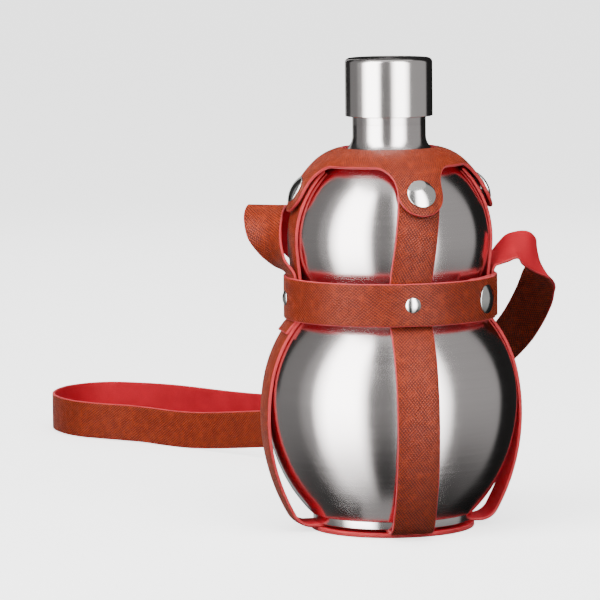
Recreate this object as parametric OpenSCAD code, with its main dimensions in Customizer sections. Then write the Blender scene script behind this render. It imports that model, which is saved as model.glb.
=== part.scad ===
// A gourd-shaped stainless steel flask with a screw cap, carried in a leather
// harness with snap-fastened lobes, a waist band and one long shoulder strap.
// The origin is the centre of the underside of the leather base disc, +Z is up,
// and the front of the harness faces -Y.

/* [Flask] */
// Height of the flask from the foot to the top of the cap
flask_h = 240; // [232:1:250]
// Widest radius of the belly
belly_r = 65.5; // [64:0.5:68]
// Radius of the upper bulb
bulb_r = 51.3; // [50:0.1:53]
// Height of the widest part of the belly above the foot
belly_z = 63; // [60:1:66]
// Height of the centre of the upper bulb above the foot
bulb_z = 146.5; // [144:0.5:150]
// Outer radius of the neck
neck_r = 19; // [18.5:0.1:19.2]
// Radius of the foot ring
foot_r = 41.2; // [39:0.1:42]
// Thickness of the steel sheet
steel_t = 0.8; // [0.6:0.1:1]

/* [Cap] */
// Outer radius of the cap
cap_r = 22.6; // [22.4:0.1:24]
// Height of the cap
cap_h = 30; // [28:0.5:32]
// Pitch of the screw thread
thread_pitch = 4; // [3.6:0.1:4.4]

/* [Harness] */
// Width of the leather straps and of the waist band
strap_w = 22; // [20:0.5:24]
// Thickness of the leather
leather_t = 1.6; // [1.4:0.1:1.7]
// Thickness of the base disc
disc_t = 2.4; // [2:0.1:3]
// Radius of the base disc
disc_r = 42.8; // [42:0.1:44]
// Height of the middle of the waist band above the foot
band_z = 117; // [116:0.5:118]
// Radius of the round end of each collar lobe
lobe_r = 12; // [11:0.5:12.5]

/* [Hardware] */
// Radius of a snap fastener's cap
snap_r = 7.5; // [7:0.1:7.5]
// Radius of a waist rivet's cap
rivet_r = 4; // [3.5:0.1:4.5]

/* [Hidden] */
$fn = 96;
steel = "silver";
nickel = "gainsboro";
brown = "sienna";
red = "crimson";
foot_z = disc_t + leather_t;
side_names = ["front", "right", "back", "left"];
side_angles = [-90, 0, 90, 180];
lobe_angles = [-83, 0, 90, 180];
strap_leans = [7.5, 0, 0, 0];
ellipse_b = 77;
floor_z = 4.2;
flare_r = 9;
waist_r = 8;
neck_join_z = 206;
neck_top_z = 234.2;
cap_z = flask_h - cap_h;
thread_z = 216;
thread_turns = 2.25;
cap_thread_turns = 1.5;
ridge_depth = 1.1;
ridge_half = 0.95;
crest_half = 0.35;
steel_gap = 0.3;
snap_gap = 1.5;
strap_mid = steel_gap + leather_t / 2;
strap_end_angle = 44.5;
strap_tilt = 6;
strap_bend_r = 12;
strap_hang_angle = 12;
strap_hang_r = 105;
strap_corner_r = 10;
strap_inner_r = 26;
sheet_in_r = bulb_r + steel_gap + leather_t + snap_gap;
sheet_out_r = sheet_in_r + leather_t;
collar_hole_r = 24.5;
collar_bend_r = 26;
collar_edge_angle = 44.2;
snap_angle = 28;
lobe_root_angle = 38.5;
lobe_flare_r = 16;
lobe_flare_x = -5;
band_in_r = 53.9;
band_out_r = band_in_r + leather_t;
under_out_r = band_in_r - snap_gap;
tab_start = -54;
tab_end = -25;
tab_snap = -39;
under_end = -50;
dip_end = -13;

// The shoulder strap's middle line from its left end to its right end, in
// millimetres from the origin, and the way its width points at each place.
strap_route = [
    [-57.6, 0, 104.3], [-55, 0, 107.6], [-53, 0, 110.8], [-53, 0, 121], [-53.1, 0, 132.3],
    [-58, 2, 140], [-62, 6, 148.5], [-64, 11, 156.5], [-63, 18, 163.5], [-59, 28, 166.5],
    [-54, 38, 161.5], [-45, 52, 150], [-30, 72, 134], [12, 132, 92], [31, 183, 66],
    [40, 235, 44], [37, 283, 27], [21, 330, 16], [-8, 382, 12], [-46, 440, 11.5],
    [-80, 464, 11.5], [-103, 458, 11.5], [-118, 437, 11.5], [-123, 408, 11.5], [-113, 375, 11.5],
    [-82, 343, 11.5], [-49, 300, 12], [4, 215, 25], [33, 163, 42], [60, 107, 64],
    [77, 64, 88], [84, 34, 112], [83, 12, 132], [75, 1, 141.5], [66, -1, 144],
    [59.5, -1, 141], [55, 0, 137], [53.1, 0, 132.3], [53, 0, 121], [53, 0, 111]
];
strap_across = [
    [0, 1, 0], [0, 1, 0], [0, 1, 0], [0, 1, 0], [0, 1, 0],
    [-0.2, 1, 0], [-0.5, 0.9, 0], [-0.7, 0.7, 0], [-0.8, 0.6, 0], [-0.9, 0.5, 0],
    [-1, 0.3, 0.1], [-1, 0.1, 0.2], [-0.9, 0.1, 0.3], [-0.7, 0, 0.7], [-0.5, 0, 0.8],
    [-0.3, 0, 1], [-0.1, 0, 1], [0, 0, 1], [0, 0, 1], [0, 0, 1],
    [0, 0, 1], [0, 0, 1], [0, 0, 1], [0, 0, 1], [0, 0, 1],
    [0, 0, 1], [0, 0, 1], [-0.1, 0, 1], [-0.3, 0, 1], [-0.6, 0.1, 0.8],
    [-0.8, 0.3, 0.6], [-0.8, 0.5, 0.4], [-0.4, 0.2, 0.9], [0, 0.4, 0.9], [0.2, 0.8, 0.6],
    [0.1, 0.9, 0.4], [0, 1, 0.1], [0, 1, 0], [0, 1, 0], [0, 1, 0]
];

// ---- Profiles in the (radius, height) plane: lists of [point, outward normal] ----

function unit(v) = v / norm(v);
function ray(a) = [cos(a), sin(a)];

// An arc about c; side is 1 where it bulges outward and -1 where it is hollow.
function arc(c, r, from, to, steps, side = 1) =
    [for (i = [0:steps]) let (a = from + (to - from) * i / steps) [c + r * ray(a), side * ray(a)]];

// The closed outline between a path moved out by out_t and the path moved in by in_t.
function ribbon(path, out_t, in_t) = concat(
    [for (s = path) s[0] + s[1] * out_t],
    [for (i = [len(path) - 1:-1:0]) path[i][0] - path[i][1] * in_t]
);

// Centre of the hollow fillet that touches the neck and the upper bulb.
flare_c = [neck_r + flare_r, bulb_z + sqrt(pow(bulb_r + flare_r, 2) - pow(neck_r + flare_r, 2))];
flare_angle = atan2(flare_c[1] - bulb_z, flare_c[0]);

// Centre of the hollow fillet that touches the bulb and the belly at the waist.
waist_z = (pow(belly_r + waist_r, 2) - pow(bulb_r + waist_r, 2) + pow(bulb_z, 2) - pow(belly_z, 2))
    / (2 * (bulb_z - belly_z));
waist_c = [sqrt(pow(bulb_r + waist_r, 2) - pow(bulb_z - waist_z, 2)), waist_z];
bulb_low_angle = atan2(waist_z - bulb_z, waist_c[0]);
belly_top_angle = atan2(waist_z - belly_z, waist_c[0]);
floor_angle = asin((belly_z - floor_z) / ellipse_b);

function belly_low(to, steps) = [
    for (i = [0:steps])
        let (a = -to * i / steps)
        [[belly_r * cos(a), belly_z + ellipse_b * sin(a)], unit([cos(a) / belly_r, sin(a) / ellipse_b])]
];

upper_path = concat(
    [[[neck_r, neck_join_z], [1, 0]]],
    arc(flare_c, flare_r, 180, 180 + flare_angle, 6, -1),
    arc([0, bulb_z], bulb_r, flare_angle, bulb_low_angle, 18),
    arc(waist_c, waist_r, 180 + bulb_low_angle, 180, 4, -1)
);
lower_top_path = concat(
    arc(waist_c, waist_r, 180, 180 + belly_top_angle, 4, -1),
    arc([0, belly_z], belly_r, belly_top_angle, 0, 10)
);
lower_path = concat(lower_top_path, belly_low(floor_angle, 10));
lower_inside = concat(lower_top_path, belly_low(floor_angle - 0.5, 10));

// Middle line of a vertical strap, from its end under a lobe down to the base disc.
strap_bulb_r = bulb_r + strap_mid;
strap_belly_r = belly_r + strap_mid;
strap_leave = [0, bulb_z] + strap_bulb_r * ray(-strap_tilt);
strap_q = strap_leave + strap_bend_r * ray(-strap_tilt) - [0, belly_z];
strap_down = [-sin(strap_tilt), -cos(strap_tilt)];
strap_qd = strap_q * strap_down;
strap_run = -strap_qd - sqrt(
    strap_qd * strap_qd - strap_q * strap_q + pow(strap_belly_r + strap_bend_r, 2)
);
strap_bend_c = [0, belly_z] + strap_q + strap_run * strap_down;
strap_bend_angle = atan2(strap_bend_c[1] - belly_z, strap_bend_c[0]);
strap_hang_c = [0, belly_z] + (strap_belly_r - strap_hang_r) * ray(strap_hang_angle);
strap_foot_z = -leather_t / 2;
strap_corner_z = strap_foot_z + strap_corner_r;
strap_reach = strap_hang_r - strap_corner_r;
strap_corner_c = [
    strap_hang_c[0] + sqrt(pow(strap_reach, 2) - pow(strap_hang_c[1] - strap_corner_z, 2)),
    strap_corner_z
];
strap_low_angle = atan2(strap_corner_z - strap_hang_c[1], strap_corner_c[0] - strap_hang_c[0]);
strap_path = concat(
    arc([0, bulb_z], strap_bulb_r, strap_end_angle, -strap_tilt, 10),
    arc(strap_bend_c, strap_bend_r, 180 - strap_tilt, 180 + strap_bend_angle, 5, -1),
    arc([0, belly_z], strap_belly_r, strap_bend_angle, strap_hang_angle, 6),
    arc(strap_hang_c, strap_hang_r, strap_hang_angle, strap_low_angle, 8),
    arc(strap_corner_c, strap_corner_r, strap_low_angle, -90, 8),
    [[[strap_inner_r, strap_foot_z], [0, -1]]]
);
strap_waist_r = strap_leave[0] - (strap_leave[1] - band_z) * tan(strap_tilt);

// The collar's and lobes' sheet: round over the bulb, flatter towards the neck.
collar_bend_c = [0, bulb_z] + (sheet_in_r - collar_bend_r) * ray(45);
collar_top_angle = acos((collar_hole_r - collar_bend_c[0]) / collar_bend_r);
sheet_path = concat(
    arc(collar_bend_c, collar_bend_r, collar_top_angle, 45, 6),
    arc([0, bulb_z], sheet_in_r, 45, 15, 10)
);

// ---- Helpers ----

module flask_frame() {
    translate([0, 0, foot_z]) children();
}

module revolve(points) {
    rotate_extrude() polygon(points);
}

// The frame of one lobe's snap: +Z points out of the leather's outer face, +X
// down the lobe, and the origin is on that face.
module snap_frame(angle) {
    flask_frame() rotate([0, 0, angle]) translate([0, 0, bulb_z])
        rotate([0, 90 - snap_angle, 0]) translate([0, 0, sheet_out_r]) children();
}

module tab_frame() {
    flask_frame() rotate([0, 0, tab_snap]) translate([0, 0, band_z])
        rotate([0, 90, 0]) translate([0, 0, band_out_r]) children();
}

module disc(r, from, to) {
    translate([0, 0, from]) cylinder(r = r, h = to - from);
}

module ring(r, hole, from, to) {
    difference() {
        disc(r, from, to);
        disc(hole, from - 1, to + 1);
    }
}

// ---- Flask ----

module flask_lower_shell() {
    color(steel) flask_frame() difference() {
        revolve(concat([[0, waist_z]], [for (s = lower_path) s[0]], [[0, floor_z]]));
        revolve(concat(
            [[0, waist_z + 1], [waist_c[0] - waist_r - steel_t, waist_z + 1]],
            [for (s = lower_inside) s[0] - s[1] * steel_t],
            [[0, floor_z + steel_t]]
        ));
    }
}

module flask_upper_shell() {
    color(steel) flask_frame() revolve(ribbon(upper_path, 0, steel_t));
}

module flask_foot() {
    color(steel) flask_frame() difference() {
        disc(foot_r, 0, floor_z);
        disc(foot_r - 1.2, -1, 1.6);
        disc(foot_r - 1.2, 1.6 + steel_t, floor_z + 1);
    }
}

module neck_finish() {
    lip = 0.5;
    color(steel) flask_frame() difference() {
        union() {
            disc(neck_r, neck_join_z, neck_top_z - lip);
            disc(neck_r - lip, neck_top_z - lip, neck_top_z);
        }
        disc(neck_r - 1, neck_join_z - 1, neck_top_z + 1);
    }
}

// A helical ridge: root_r is where it stands and tip_r is its crest.
module thread_ridge(root_r, tip_r, from_z, turns) {
    per_turn = 36;
    count = floor(turns * per_turn);
    section = [
        [root_r, -ridge_half], [tip_r, -crest_half], [tip_r, crest_half], [root_r, ridge_half]
    ];
    points = [
        for (i = [0:count])
            let (a = i * 360 / per_turn)
            for (s = section) [s[0] * cos(a), s[0] * sin(a), from_z + thread_pitch * a / 360 + s[1]]
    ];
    sides = [
        for (i = [0:count - 1])
            for (j = [0:3])
                let (k = (j + 1) % 4, a = i * 4, b = a + 4)
                for (t = [[a + j, b + k, a + k], [a + j, b + j, b + k]]) t
    ];
    last = count * 4;
    faces = concat(sides, [[0, 1, 2], [0, 2, 3], [last, last + 2, last + 1], [last, last + 3, last + 2]]);
    turned = [for (f = faces) [f[2], f[1], f[0]]];
    polyhedron(points = points, faces = tip_r > root_r ? faces : turned, convexity = 8);
}

module neck_thread() {
    root_r = neck_r / cos(5) + 0.02;
    color(steel) flask_frame()
        thread_ridge(root_r, root_r + ridge_depth, thread_z, thread_turns);
}

// ---- Cap ----

liner_r = cap_r - steel_t - 0.05;
liner_hole_r = neck_r + 1.7;
liner_top_z = flask_h - steel_t - 0.05;
gasket_z = neck_top_z + 0.1;
gasket_t = 2.4;

module cap_shell() {
    round_r = 2.4;
    edge_r = 0.6;
    outline = concat(
        [[0, flask_h]],
        [for (s = arc([cap_r - round_r, flask_h - round_r], round_r, 90, 0, 6)) s[0]],
        [for (s = arc([cap_r - edge_r, cap_z + edge_r], edge_r, 0, -90, 3)) s[0]],
        [[0, cap_z]]
    );
    color(steel) flask_frame() difference() {
        revolve(outline);
        disc(cap_r - steel_t, cap_z - 1, flask_h - round_r);
        translate([0, 0, flask_h - round_r - 0.01])
            cylinder(r1 = cap_r - steel_t, r2 = cap_r - steel_t - 1.4, h = round_r - steel_t + 0.01);
    }
}

module cap_liner() {
    color("whitesmoke") flask_frame() difference() {
        union() {
            disc(liner_r, cap_z + 1, flask_h - 2.5);
            disc(liner_r - 1.6, flask_h - 2.5, liner_top_z);
        }
        disc(liner_hole_r, cap_z, gasket_z + gasket_t + 0.05);
    }
}

module cap_thread() {
    root_r = liner_hole_r - 0.05;
    color("whitesmoke") flask_frame()
        thread_ridge(root_r, root_r - ridge_depth, thread_z + thread_pitch / 2, cap_thread_turns);
}

module cap_gasket() {
    color("white") flask_frame() ring(neck_r + 1, neck_r - 3, gasket_z, gasket_z + gasket_t);
}

// ---- Harness ----

// Outline of a lobe with its flared root, in the snap frame's plane.
module lobe_outline() {
    root_len = 24;
    side = lobe_r + lobe_flare_r;
    circle(lobe_r);
    translate([-root_len, -lobe_r]) square([root_len, 2 * lobe_r]);
    difference() {
        translate([-root_len, -side]) square([root_len + lobe_flare_x, 2 * side]);
        for (s = [-1, 1]) translate([lobe_flare_x, s * side]) circle(lobe_flare_r);
    }
}

module lobe_prism(angle) {
    snap_frame(angle) translate([0, 0, -16]) linear_extrude(22) lobe_outline();
}

// A block above the hinge line of a lobe, cut by the plane square to the leather.
module above_root(angle, more = 0) {
    flask_frame() rotate([0, 0, angle]) translate([0, 0, bulb_z])
        rotate([0, 90 - lobe_root_angle + more, 0]) translate([-50, -50, 0]) cube([50, 100, 90]);
}

module sheet() {
    flask_frame() revolve(ribbon(sheet_path, leather_t, 0));
}

// What the ring keeps of the sheet: all above its edge, and each lobe's root.
module ring_region() {
    reach = 80;
    flask_frame() translate([0, 0, bulb_z])
        cylinder(r1 = 0.01, r2 = reach / tan(collar_edge_angle), h = reach);
    for (a = lobe_angles) intersection() {
        lobe_prism(a);
        above_root(a, -0.1);
    }
}

module collar_ring() {
    color(brown) intersection() {
        sheet();
        ring_region();
    }
}

module lobe(angle) {
    color(brown) difference() {
        intersection() {
            sheet();
            lobe_prism(angle);
        }
        above_root(angle, 0.1);
        snap_frame(angle) disc(4, -4, 4);
    }
}

// Where a vertical strap runs: upright up to the waist band's top edge, and
// leaning sideways by that many degrees above it.
module strap_lane(lean) {
    reach = 80;
    lean_z = band_z + strap_w / 2;
    overlap = 1;
    low = -foot_z - overlap;
    translate([0, -strap_w / 2, low]) cube([reach, strap_w, lean_z - low]);
    translate([0, 0, lean_z]) rotate([-lean, 0, 0]) translate([0, -strap_w / 2, -overlap])
        cube([reach, strap_w, reach]);
}

module strap(i) {
    color(brown) difference() {
        intersection() {
            flask_frame() revolve(ribbon(strap_path, leather_t / 2, leather_t / 2));
            flask_frame() rotate([0, 0, side_angles[i]]) strap_lane(strap_leans[i]);
        }
        snap_frame(lobe_angles[i]) disc(1.6, -8, -2);
        snap_frame(lobe_angles[i]) disc(3.6, -8, -4.2);
        rivet_frame(side_angles[i]) disc(1.5, strap_waist_r - 5, strap_waist_r + 5);
    }
}

module base_disc() {
    color(red) disc(disc_r, 0, disc_t);
}

// One sector of a hoop, between two angles in degrees.
module hoop(r_in, from, to) {
    flask_frame() translate([0, 0, band_z - strap_w / 2])
        rotate_extrude(angle = to - from, start = from)
            translate([r_in, 0]) square([leather_t, strap_w]);
}

module waist_band() {
    steps = 8;
    under_r = under_out_r - leather_t;
    dip = [
        for (i = [0:steps])
            let (k = i / steps, a = tab_end + (dip_end - tab_end) * k)
            [a, under_r + (band_in_r - under_r) * k * k * (3 - 2 * k)]
    ];
    color(brown) difference() {
        union() {
            hoop(band_in_r, dip_end, 360 + tab_start);
            hoop(under_r, under_end, tab_end);
            flask_frame() translate([0, 0, band_z - strap_w / 2]) linear_extrude(strap_w)
                polygon(concat(
                    [for (d = dip) d[1] * ray(d[0])],
                    [for (i = [steps:-1:0]) (dip[i][1] + leather_t) * ray(dip[i][0])]
                ));
        }
        for (a = side_angles) rivet_frame(a) disc(1.5, 45, 60);
        tab_frame() disc(1.6, -8, -2);
        tab_frame() disc(3.6, -8, -4.2);
    }
}

module waist_tab() {
    color(brown) difference() {
        hoop(band_in_r, tab_start + 0.2, tab_end);
        tab_frame() disc(4, -4, 4);
    }
}

// ---- Snap fasteners and rivets, in the snap frame ----

module snap_cap(rim_drop) {
    dome_h = 2.1;
    dome_r = (snap_r * snap_r + dome_h * dome_h) / (2 * dome_h);
    color(nickel) {
        intersection() {
            translate([0, 0, 0.1 + dome_h - dome_r]) sphere(dome_r);
            disc(snap_r + 1, 0.1, dome_h + 1);
        }
        if (rim_drop > 0) ring(snap_r, snap_r - 0.6, -rim_drop, 0.1);
        disc(1.25, -0.7, 0.1);
    }
}

module snap_socket() {
    color(nickel) difference() {
        union() {
            disc(5.4, -2.35, -1.95);
            disc(3.9, -1.95, -0.15);
        }
        disc(3.1, -3, -0.55);
        disc(3.5, -1.4, -0.9);
        disc(1.3, -1, 1);
    }
}

module snap_spring() {
    color(steel) translate([0, 0, -1.15]) rotate_extrude() translate([3.1, 0]) circle(0.22);
}

module snap_stud() {
    color(nickel) difference() {
        union() {
            disc(5.2, -3.08, -2.65);
            disc(2.6, -2.65, -1.1);
            disc(1.5, -4.2, -3.08);
        }
        disc(1.05, -5, -1.6);
    }
}

module snap_post() {
    color(nickel) {
        disc(3.4, -4.62, -4.22);
        disc(1, -4.22, -1.75);
    }
}

module rivet_frame(angle) {
    flask_frame() rotate([0, 0, angle]) translate([0, 0, band_z]) rotate([0, 90, 0]) children();
}

module waist_rivet_caps() {
    dome_h = 1.5;
    dome_r = (rivet_r * rivet_r + dome_h * dome_h) / (2 * dome_h);
    color(nickel) for (a = side_angles) rivet_frame(a) intersection() {
        translate([0, 0, band_out_r + dome_h - dome_r]) sphere(dome_r);
        disc(rivet_r + 1, band_out_r, band_out_r + dome_h + 1);
    }
}

module waist_rivet_posts() {
    back_r = strap_waist_r - 1.3;
    color(nickel) for (a = side_angles) rivet_frame(a) {
        disc(1.4, back_r, band_out_r);
        disc(3.5, back_r - 0.5, back_r);
    }
}

// ---- Shoulder strap ----

function clamp_i(i, n) = max(0, min(n - 1, i));
function between(list, i, k) =
    let (
        n = len(list), a = list[clamp_i(i - 1, n)], b = list[i],
        c = list[clamp_i(i + 1, n)], d = list[clamp_i(i + 2, n)]
    )
    0.5 * (2 * b + (c - a) * k + (2 * a - 5 * b + 4 * c - d) * k * k + (3 * b - a - 3 * c + d) * k * k * k);

module shoulder_strap() {
    half_w = strap_w / 2 - 0.2;
    half_t = leather_t / 2 - 0.05;
    hoop_r = 53;
    tuck_z = 133;
    spans = len(strap_route) - 1;
    stations = [for (i = [0:spans - 1]) for (k = [0, 0.5]) [i, k], [spans - 1, 1]];
    middle = [for (s = stations) between(strap_route, s[0], s[1])];
    across = [for (s = stations) between(strap_across, s[0], s[1])];
    count = len(stations);
    section = [
        [-1, -1], [-0.5, -1], [0, -1], [0.5, -1], [1, -1],
        [1, 1], [0.5, 1], [0, 1], [-0.5, 1], [-1, 1]
    ];
    sides = len(section);
    points = [
        for (i = [0:count - 1])
            let (
                along = unit(middle[clamp_i(i + 1, count)] - middle[clamp_i(i - 1, count)]),
                w = unit(across[i] - (across[i] * along) * along),
                n = cross(along, w),
                tucked = max(0, 1 - max(0, middle[i][2] - tuck_z) / 8) * (middle[i][1] < 20 ? 1 : 0)
            )
            for (s = section)
                middle[i] + w * s[0] * half_w
                    + n * (s[1] * half_t - tucked * pow(s[0] * half_w, 2) / (2 * hoop_r))
    ];
    walls = [
        for (i = [0:count - 2])
            for (j = [0:sides - 1])
                let (k = (j + 1) % sides, a = i * sides, b = a + sides)
                for (t = [[a + j, a + k, b + k], [a + j, b + k, b + j]]) t
    ];
    first = [for (j = [sides - 1:-1:0]) j];
    last = [for (j = [0:sides - 1]) (count - 1) * sides + j];
    color(brown) polyhedron(points = points, faces = concat(walls, [first], [last]), convexity = 10);
}

// ---- The assembly ----

flask_lower_shell();
flask_upper_shell();
flask_foot();
neck_finish();
neck_thread();
cap_shell();
cap_liner();
cap_thread();
cap_gasket();
collar_ring();
base_disc();
waist_band();
waist_tab();
shoulder_strap();
for (i = [0:3]) {
    strap(i);
    lobe(lobe_angles[i]);
    snap_frame(lobe_angles[i]) snap_cap(0.4);
    snap_frame(lobe_angles[i]) snap_socket();
    snap_frame(lobe_angles[i]) snap_spring();
    snap_frame(lobe_angles[i]) snap_stud();
    snap_frame(lobe_angles[i]) snap_post();
}
tab_frame() snap_cap(0);  // tab_snap_cap
tab_frame() snap_socket();  // tab_snap_socket
tab_frame() snap_spring();  // tab_snap_spring
tab_frame() snap_stud();  // tab_snap_stud
tab_frame() snap_post();  // tab_snap_post
waist_rivet_caps();
waist_rivet_posts();
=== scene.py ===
"""Looks of a steel flask in a leather harness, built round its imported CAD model, in metres."""
import math

import bmesh
import bpy
from mathutils import Matrix, Vector, geometry, noise


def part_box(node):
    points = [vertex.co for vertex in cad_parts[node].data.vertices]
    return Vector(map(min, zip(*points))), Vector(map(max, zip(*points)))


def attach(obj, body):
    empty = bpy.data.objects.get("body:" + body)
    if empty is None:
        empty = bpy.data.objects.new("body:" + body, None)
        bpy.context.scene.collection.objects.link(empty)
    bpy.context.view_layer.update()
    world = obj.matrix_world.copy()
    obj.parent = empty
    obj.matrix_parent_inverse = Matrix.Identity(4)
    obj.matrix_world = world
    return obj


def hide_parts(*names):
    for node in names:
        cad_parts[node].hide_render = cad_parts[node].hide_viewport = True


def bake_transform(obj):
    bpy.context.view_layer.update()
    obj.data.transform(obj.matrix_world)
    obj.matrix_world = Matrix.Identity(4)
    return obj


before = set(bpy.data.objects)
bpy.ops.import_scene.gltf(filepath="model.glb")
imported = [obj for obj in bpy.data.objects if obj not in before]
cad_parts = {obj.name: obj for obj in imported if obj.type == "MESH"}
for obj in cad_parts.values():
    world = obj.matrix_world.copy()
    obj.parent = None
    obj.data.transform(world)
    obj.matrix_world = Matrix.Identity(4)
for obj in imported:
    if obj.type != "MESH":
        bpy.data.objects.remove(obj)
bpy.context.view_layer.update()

# ---- Sizes in metres and angles in degrees: the driving dimensions of the CAD model ----

# The flask: a belly that is round above and a half ellipse below, a waist, a bulb and a neck.
FOOT_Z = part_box("flask_foot")[0].z
FOOT_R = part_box("flask_foot")[1].x
FOOT_T = 0.0012
FOOT_PLATE_Z = FOOT_Z + 0.0016
FLOOR_Z = FOOT_Z + 0.0042
BELLY_R = 0.0655
BELLY_Z = FOOT_Z + 0.063
ELLIPSE_B = 0.077
WAIST_R = 0.008
BULB_R = 0.0513
BULB_Z = FOOT_Z + 0.1465
FLARE_R = 0.009
STEEL_T = 0.0008
NECK_R = 0.019
NECK_T = 0.001
NECK_TOP_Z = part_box("neck_finish")[1].z
NECK_LOW_Z = NECK_TOP_Z - 0.0282
CAP_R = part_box("cap_shell")[1].x
CAP_LOW, CAP_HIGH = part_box("cap_shell")[0].z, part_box("cap_shell")[1].z

# The leather, and how far it stands off the steel and off what a snap holds under it.
DISC_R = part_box("base_disc")[1].x
DISC_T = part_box("base_disc")[1].z
DISC_EDGE_R = 0.0007
STRAP_W = 0.022
LEATHER_T = 0.0016
SHOULDER_W, SHOULDER_T = STRAP_W - 0.0004, LEATHER_T - 0.0001
STEEL_GAP = 0.0003
SNAP_GAP = 0.0015

# The vertical straps: the angle at which each ends under its lobe, how far it runs in under the
# foot, and the front one's lean above the band.
STRAP_TOP, STRAP_UNDER = 44.5, 0.0196
BAND_Z = FOOT_Z + 0.117
FRONT_LEAN = 7.5
LEAN_Z = BAND_Z + STRAP_W / 2
LEAN_EASE = 0.004

# The waist band: its radius, that of the part under its closing end, and places round the axis.
# The closing end is a piece of its own from TAB_SPLIT on.
BAND_R = 0.0539 + LEATHER_T / 2
UNDER_R = BAND_R - SNAP_GAP - LEATHER_T
TAB_START, TAB_END, TAB_SNAP, DIP_END, UNDER_END = -54, -25, -39, -13, -50
TAB_SPLIT = TAB_START - 2
TAB_BEND_START, TAB_BEND_END = TAB_START - 0.5, TAB_START + 5

# The collar: a dome with a round hole and four lobes. Its angles are over the bulb's middle.
SHEET_R = BULB_R + STEEL_GAP + LEATHER_T + SNAP_GAP + LEATHER_T / 2
COLLAR_HOLE_R = 0.0245
COLLAR_BEND_R = 0.026 + LEATHER_T / 2
COLLAR_EDGE = 44.2
SNAP_ANGLE = 28
LOBE_ROOT = 38.5
LOBE_R = 0.012
LOBE_FLARE_R = 0.016
LOBE_FLARE_X = -0.005

# Caps of the fasteners, and the sides that straps, lobes and seams lie on round the axis.
SNAP_R = 0.0075
RIVET_R = 0.004
SIDES = {"front": -90, "right": 0, "back": 90, "left": 180}
LOBES = {"front": -83, "right": 0, "back": 90, "left": 180}
SEAMS = {"front": (-131.5, -41.5), "right": (-41.5, 45), "back": (45, 135), "left": (135, 228.5)}

# The shoulder strap's ends, which lie in front of TUCK_Y, are pressed to the band's hoop below
# TUCK_Z, and ease out of it above.
TUCK_Y, TUCK_Z, TUCK_EASE, TUCK_R, LEAST_TUCK = 0.02, 0.133, 0.008, 0.053, 0.02

# The shoulder strap's middle line and the way its width points, as in the CAD model.
STRAP_ROUTE = [
    (-0.0576, 0, 0.1043), (-0.055, 0, 0.1076), (-0.053, 0, 0.1108), (-0.053, 0, 0.121),
    (-0.0531, 0, 0.1323), (-0.058, 0.002, 0.14), (-0.062, 0.006, 0.1485), (-0.064, 0.011, 0.1565),
    (-0.063, 0.018, 0.1635), (-0.059, 0.028, 0.1665), (-0.054, 0.038, 0.1615), (-0.045, 0.052, 0.15),
    (-0.03, 0.072, 0.134), (0.012, 0.132, 0.092), (0.031, 0.183, 0.066), (0.04, 0.235, 0.044),
    (0.037, 0.283, 0.027), (0.021, 0.33, 0.016), (-0.008, 0.382, 0.012), (-0.046, 0.44, 0.0115),
    (-0.08, 0.464, 0.0115), (-0.103, 0.458, 0.0115), (-0.118, 0.437, 0.0115), (-0.123, 0.408, 0.0115),
    (-0.113, 0.375, 0.0115), (-0.082, 0.343, 0.0115), (-0.049, 0.3, 0.012), (0.004, 0.215, 0.025),
    (0.033, 0.163, 0.042), (0.06, 0.107, 0.064), (0.077, 0.064, 0.088), (0.084, 0.034, 0.112),
    (0.083, 0.012, 0.132), (0.075, 0.001, 0.1415), (0.066, -0.001, 0.144), (0.0595, -0.001, 0.141),
    (0.055, 0, 0.137), (0.0531, 0, 0.1323), (0.053, 0, 0.121), (0.053, 0, 0.111),
]
STRAP_ACROSS = [
    (0, 1, 0), (0, 1, 0), (0, 1, 0), (0, 1, 0),
    (0, 1, 0), (-0.2, 1, 0), (-0.5, 0.9, 0), (-0.7, 0.7, 0),
    (-0.8, 0.6, 0), (-0.9, 0.5, 0), (-1, 0.3, 0.1), (-1, 0.1, 0.2),
    (-0.9, 0.1, 0.3), (-0.7, 0, 0.7), (-0.5, 0, 0.8), (-0.3, 0, 1),
    (-0.1, 0, 1), (0, 0, 1), (0, 0, 1), (0, 0, 1),
    (0, 0, 1), (0, 0, 1), (0, 0, 1), (0, 0, 1),
    (0, 0, 1), (0, 0, 1), (0, 0, 1), (-0.1, 0, 1),
    (-0.3, 0, 1), (-0.6, 0.1, 0.8), (-0.8, 0.3, 0.6), (-0.8, 0.5, 0.4),
    (-0.4, 0.2, 0.9), (0, 0.4, 0.9), (0.2, 0.8, 0.6), (0.1, 0.9, 0.4),
    (0, 1, 0.1), (0, 1, 0), (0, 1, 0), (0, 1, 0),
]

# ---- Small geometry helpers: a path is a list of (point, outward normal) in (radius, height) ----


def ray(angle):
    return Vector((math.cos(math.radians(angle)), math.sin(math.radians(angle))))


def arc(centre, radius, start, stop, steps, side=1):
    angles = [start + (stop - start) * i / steps for i in range(steps + 1)]
    return [(Vector(centre) + radius * ray(a), side * ray(a)) for a in angles]


def angle_of(v):
    return math.degrees(math.atan2(v[1], v[0]))


def rounded(corners, steps=5):
    """The points of a line of (x, y, fillet radius) corners with each corner rounded."""
    points = []
    for i, (x, y, radius) in enumerate(corners):
        here = Vector((x, y))
        if radius == 0 or i in (0, len(corners) - 1):
            points.append(here)
            continue
        before = (Vector(corners[i - 1][:2]) - here).normalized()
        after = (Vector(corners[i + 1][:2]) - here).normalized()
        half = before.angle(after) / 2
        centre = here + (before + after).normalized() * radius / math.sin(half)
        reach = radius / math.tan(half)
        start, stop = angle_of(here + before * reach - centre), angle_of(here + after * reach - centre)
        turn = (stop - start + 180) % 360 - 180
        points += [centre + radius * ray(start + turn * k / steps) for k in range(steps + 1)]
    return points


def running(points):
    """How far along the line through the points each of them lies."""
    run = [0.0]
    for a, b in zip(points, points[1:]):
        run.append(run[-1] + (b - a).length)
    return run


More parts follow.
